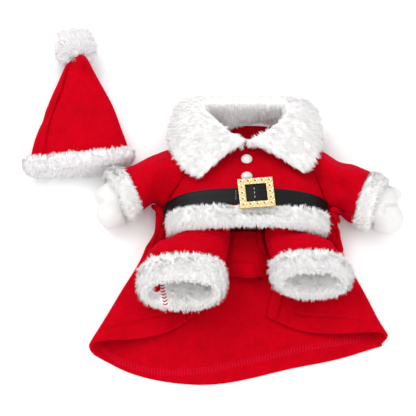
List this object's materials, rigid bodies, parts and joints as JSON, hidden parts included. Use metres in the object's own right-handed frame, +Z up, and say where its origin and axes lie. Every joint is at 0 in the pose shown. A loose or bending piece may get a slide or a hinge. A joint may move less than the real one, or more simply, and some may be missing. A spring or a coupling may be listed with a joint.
{
  "type": "pet santa costume",
  "caption": "Red fleece coat for a small pet, with plush collar, cuffs, stuffed mitten sleeves, belt and buckle, laid flat with its cone hat and pompom.",
  "frame": {"origin": "on the surface the costume lies on, under the middle of its bounding box", "axes": "+Z up from the surface, through the chest of the coat; +Y from the back hem to the collar; +X to the right as seen from above"},
  "size_m": [0.399, 0.4182, 0.0676],
  "materials": {
    "fleece": "short-napped red fleece",
    "plush": "white plush with a soft pile",
    "hat_plush": "faintly pink white plush",
    "mitten": "smooth white velour over stuffing",
    "strap": "black imitation leather",
    "buckle": "pale gold plating, dimpled",
    "button": "white, satin"
  },
  "bodies": {
    "root": {"back_panel": "fleece", "skirt_left": "fleece", "skirt_right": "fleece", "chest_panel": "fleece", "belly_panel": "fleece", "sleeve_left": "fleece", "sleeve_right": "fleece", "leg_left": "fleece", "leg_right": "fleece", "waist_gather_left": "fleece", "waist_gather_right": "fleece", "hat_cone": "fleece", "collar": "plush", "hem_band": "plush", "sleeve_cuff_left": "plush", "sleeve_cuff_right": "plush", "leg_cuff_left": "plush", "leg_cuff_right": "plush", "hat_brim": "hat_plush", "hat_pompom": "hat_plush", "mitten_left": "mitten", "mitten_right": "mitten", "belt": "strap", "buckle": "buckle", "button_upper": "button", "button_lower": "button"}
  },
  "joints": []
}
